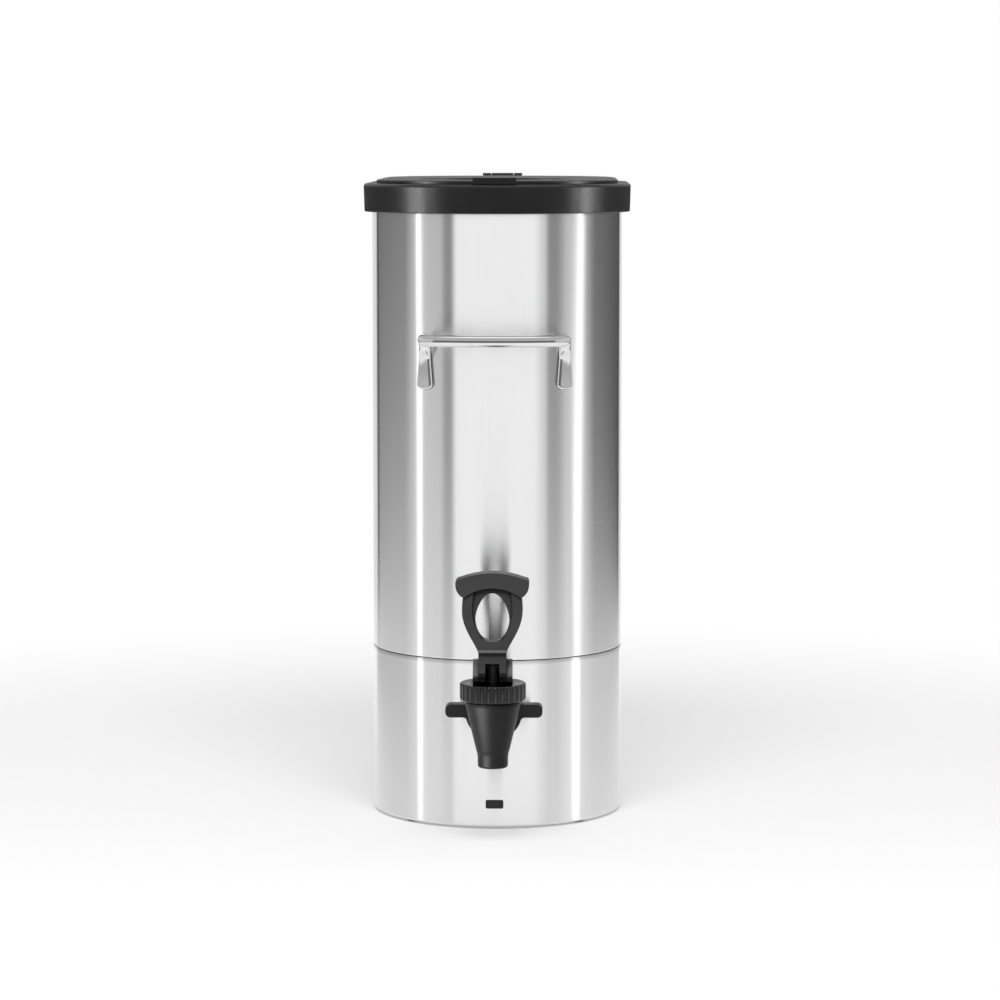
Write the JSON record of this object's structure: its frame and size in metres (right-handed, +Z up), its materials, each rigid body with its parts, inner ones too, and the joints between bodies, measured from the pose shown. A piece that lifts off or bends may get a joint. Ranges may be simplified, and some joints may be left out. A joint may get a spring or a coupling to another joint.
{
  "type": "tea dispenser",
  "caption": "Narrow oval stainless tea dispenser with a lift-off hatched lid, carry handles and a lever tap on a wing-nut shank.",
  "frame": {"origin": "on the table, under the middle of the whole object's box, tap and rear handle included", "axes": "+Z up, -Y towards the tap and the front, +X to the right for someone facing the tap"},
  "size_m": [0.1838, 0.368, 0.4392],
  "materials": {
    "polished_steel": "polished stainless sheet with a faint vertical grain",
    "machined_steel": "turned stainless",
    "pin_steel": "drawn stainless wire and rod",
    "lid_plastic": "satin black moulding",
    "tap_plastic": "satin black moulding",
    "plug_plastic": "satin black moulding",
    "stem_plastic": "satin black moulding",
    "gasket_rubber": "grey food-grade silicone",
    "cup_rubber": "clear-white silicone",
    "foot_rubber": "black rubber"
  },
  "bodies": {
    "dispenser": {"tank_shell": "polished_steel", "tank_floor": "polished_steel", "base_skirt": "polished_steel", "slot_plug": "plug_plastic", "rubber_feet": "foot_rubber", "front_handle": "polished_steel", "rear_handle": "polished_steel", "outer_gasket": "gasket_rubber", "tap_shank": "machined_steel", "inner_gasket": "gasket_rubber", "shank_nut": "machined_steel", "tail_gasket": "gasket_rubber", "tap_body": "tap_plastic"},
    "wing_nut": {"wing_nut": "tap_plastic"},
    "bonnet": {"bonnet": "tap_plastic"},
    "valve_stem": {"stem": "stem_plastic", "seat_cup": "cup_rubber", "return_spring": "pin_steel", "handle_pin": "pin_steel"},
    "tap_lever": {"tap_handle": "tap_plastic"},
    "lid": {"lid_frame": "lid_plastic", "hatch_pin": "pin_steel"},
    "hatch": {"lid_hatch": "lid_plastic"}
  },
  "joints": [
    {"name": "lid_lift", "type": "slide", "parent": "dispenser", "child": "lid", "axis": [0, 0, 1], "range_m": [0, 0.12]},
    {"name": "hatch_flip", "type": "hinge", "parent": "lid", "child": "hatch", "pos_m": [0, 0.15507, 0.4369], "axis": [-1, 0, 0], "range_deg": [0, 105]},
    {"name": "stem_lift", "type": "slide", "parent": "dispenser", "child": "valve_stem", "axis": [0, 0, 1], "range_m": [0, 0.00402], "stiffness_N_per_m": 120, "springref_m": -0.008, "deforming": ["return_spring"]},
    {"name": "lever_tilt", "type": "hinge", "parent": "valve_stem", "child": "tap_lever", "pos_m": [0, -0.16223, 0.1187], "axis": [1, 0, 0], "range_deg": [0, 30]},
    {"name": "wing_nut_turn", "type": "hinge", "parent": "dispenser", "child": "wing_nut", "pos_m": [0, -0.13023, 0.0841], "axis": [0, -1, 0], "range_deg": [0, 360]},
    {"name": "bonnet_turn", "type": "hinge", "parent": "dispenser", "child": "bonnet", "pos_m": [0, -0.16223, 0.1025], "axis": [0, 0, 1], "range_deg": [0, 360]}
  ],
  "couplings": [
    {"joint": "stem_lift", "follows": "lever_tilt", "m_per_rad": 0.0076394}
  ]
}
